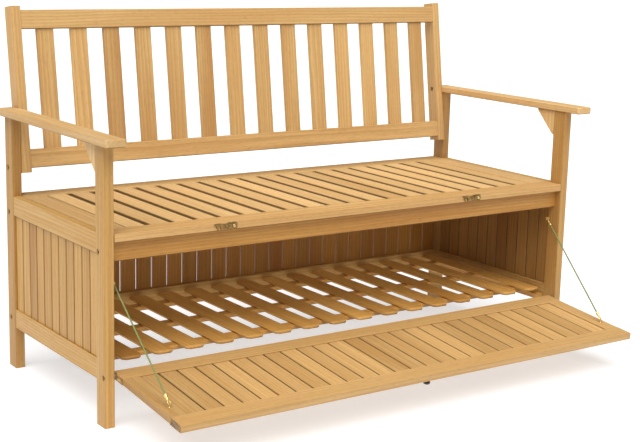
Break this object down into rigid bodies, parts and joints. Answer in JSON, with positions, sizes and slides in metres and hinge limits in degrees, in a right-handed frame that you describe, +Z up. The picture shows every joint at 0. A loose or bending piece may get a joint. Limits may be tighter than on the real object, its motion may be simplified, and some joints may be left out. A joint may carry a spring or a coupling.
{
  "type": "garden storage bench",
  "caption": "Slatted hardwood garden bench with arms and a leaning back over a boarded chest; its front falls open on pivot bolts, hangs on two cords and is held shut by hooks.",
  "frame": {"origin": "on the ground, midway along the width and the depth of the bench with its front open as at rest", "axes": "+Z up, +X along the seat to the right as seen from the front, +Y towards the back rest"},
  "size_m": [1.48, 0.9121, 0.9309],
  "materials": {
    "frame_wood": "oiled",
    "arm_wood": "oiled",
    "panel_wood": "oiled",
    "seat_wood": "oiled",
    "back_wood": "oiled",
    "floor_wood": "oiled",
    "front_wood": "oiled",
    "bolt_steel": "dull zinc",
    "spacer_plastic": "matte",
    "latch_brass": "brassed steel",
    "cord_brass": "polished",
    "knob_black": "satin",
    "cord_green": "braided"
  },
  "bodies": {
    "bench": {"front_left_post": "frame_wood", "front_right_post": "frame_wood", "rear_left_post": "frame_wood", "rear_right_post": "frame_wood", "left_arm_bracket": "frame_wood", "right_arm_bracket": "frame_wood", "front_apron": "frame_wood", "rear_top_rail": "frame_wood", "rear_bottom_rail": "frame_wood", "left_arm": "arm_wood", "right_arm": "arm_wood", "left_end_top_rail": "panel_wood", "left_end_bottom_rail": "panel_wood", "left_end_boards": "panel_wood", "right_end_top_rail": "panel_wood", "right_end_bottom_rail": "panel_wood", "right_end_boards": "panel_wood", "rear_boards": "panel_wood", "seat_front_rail": "seat_wood", "seat_rear_rail": "seat_wood", "left_seat_rail": "seat_wood", "right_seat_rail": "seat_wood", "seat_slats": "seat_wood", "left_back_stile": "back_wood", "right_back_stile": "back_wood", "back_top_rail": "back_wood", "back_bottom_rail": "back_wood", "back_slats": "back_wood", "floor_slats": "floor_wood", "front_floor_batten": "floor_wood", "middle_floor_batten": "floor_wood", "rear_floor_batten": "floor_wood", "left_floor_cleat": "floor_wood", "right_floor_cleat": "floor_wood", "frame_bolts": "bolt_steel", "stile_bolts": "bolt_steel", "arm_bolts": "bolt_steel", "left_pivot_bolt": "bolt_steel", "right_pivot_bolt": "bolt_steel", "left_pivot_spacer": "spacer_plastic", "right_pivot_spacer": "spacer_plastic", "latch_plates": "latch_brass", "latch_screws": "latch_brass", "post_eyes": "cord_brass", "post_ferrules": "cord_brass", "left_cord": "cord_green", "right_cord": "cord_green"},
    "falling_front": {"door_hinge_rail": "front_wood", "door_outer_rail": "front_wood", "left_door_stile": "front_wood", "right_door_stile": "front_wood", "door_boards": "front_wood", "door_knob": "knob_black", "left_keeper": "latch_brass", "right_keeper": "latch_brass", "door_eyes": "cord_brass", "door_ferrules": "cord_brass"},
    "left_latch": {"left_hook": "latch_brass"},
    "right_latch": {"right_hook": "latch_brass"}
  },
  "joints": [
    {"name": "front_fall", "type": "hinge", "parent": "bench", "child": "falling_front", "pos_m": [0, -0.14781, 0.12], "axis": [-1, 0, 0], "range_deg": [0, 95.8], "deforming": ["left_cord", "right_cord"]},
    {"name": "left_hook_swing", "type": "hinge", "parent": "bench", "child": "left_latch", "pos_m": [-0.383, -0.15951, 0.445], "axis": [0, -1, 0], "range_deg": [0, 90]},
    {"name": "right_hook_swing", "type": "hinge", "parent": "bench", "child": "right_latch", "pos_m": [0.383, -0.15951, 0.445], "axis": [0, -1, 0], "range_deg": [0, 90]}
  ]
}
